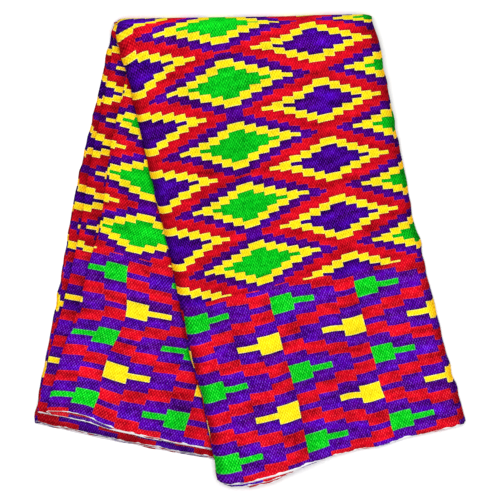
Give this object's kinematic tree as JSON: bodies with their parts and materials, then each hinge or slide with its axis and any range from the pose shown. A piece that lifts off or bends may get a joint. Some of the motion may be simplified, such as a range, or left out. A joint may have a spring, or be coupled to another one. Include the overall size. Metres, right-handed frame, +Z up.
{
  "type": "folded kente cloth",
  "caption": "A woven kente cloth pleated into a narrow strip and folded in half, its two halves fanned apart below the top fold.",
  "frame": {"origin": "centre of the plan's box, on the surface that the cloth lies on", "axes": "+Z up, +Y towards the top fold, +X towards the side to which the upper half leans"},
  "size_m": [0.5696, 0.6234, 0.0244],
  "materials": {
    "woven_cloth": "matte"
  },
  "bodies": {
    "root": {"kente_cloth": "woven_cloth"}
  },
  "joints": []
}
